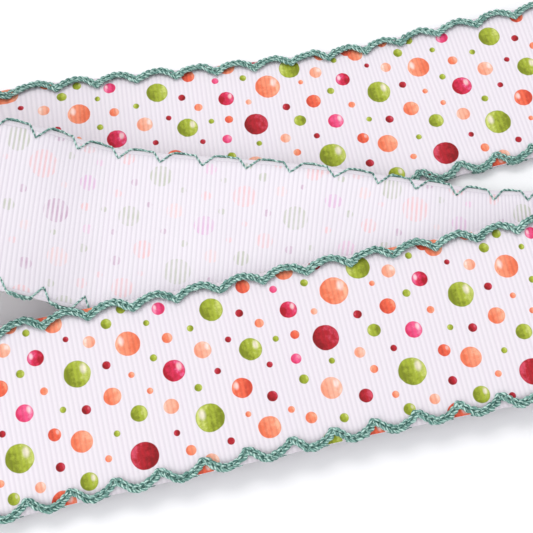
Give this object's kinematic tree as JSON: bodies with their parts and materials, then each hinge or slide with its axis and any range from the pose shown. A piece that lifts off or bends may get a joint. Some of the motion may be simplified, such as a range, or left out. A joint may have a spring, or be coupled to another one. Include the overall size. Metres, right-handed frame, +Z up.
{
  "type": "scalloped-edge grosgrain ribbon length",
  "caption": "Length of dotted grosgrain ribbon with a crocheted scallop edging along both edges, laid back and forth in soft folds.",
  "frame": {"origin": "middle of the whole part's box, on the surface it lies on", "axes": "+X to the right along the runs, +Y from the front run to the back run, +Z up"},
  "size_m": [0.2078, 0.1481, 0.0211],
  "materials": {
    "ribbon": "woven polyester grosgrain, matt with a faint sheen",
    "edging": "crocheted multi-filament thread, soft sheen"
  },
  "bodies": {
    "root": {"ribbon": "ribbon", "edging_far": "edging", "edging_near": "edging"}
  },
  "joints": []
}
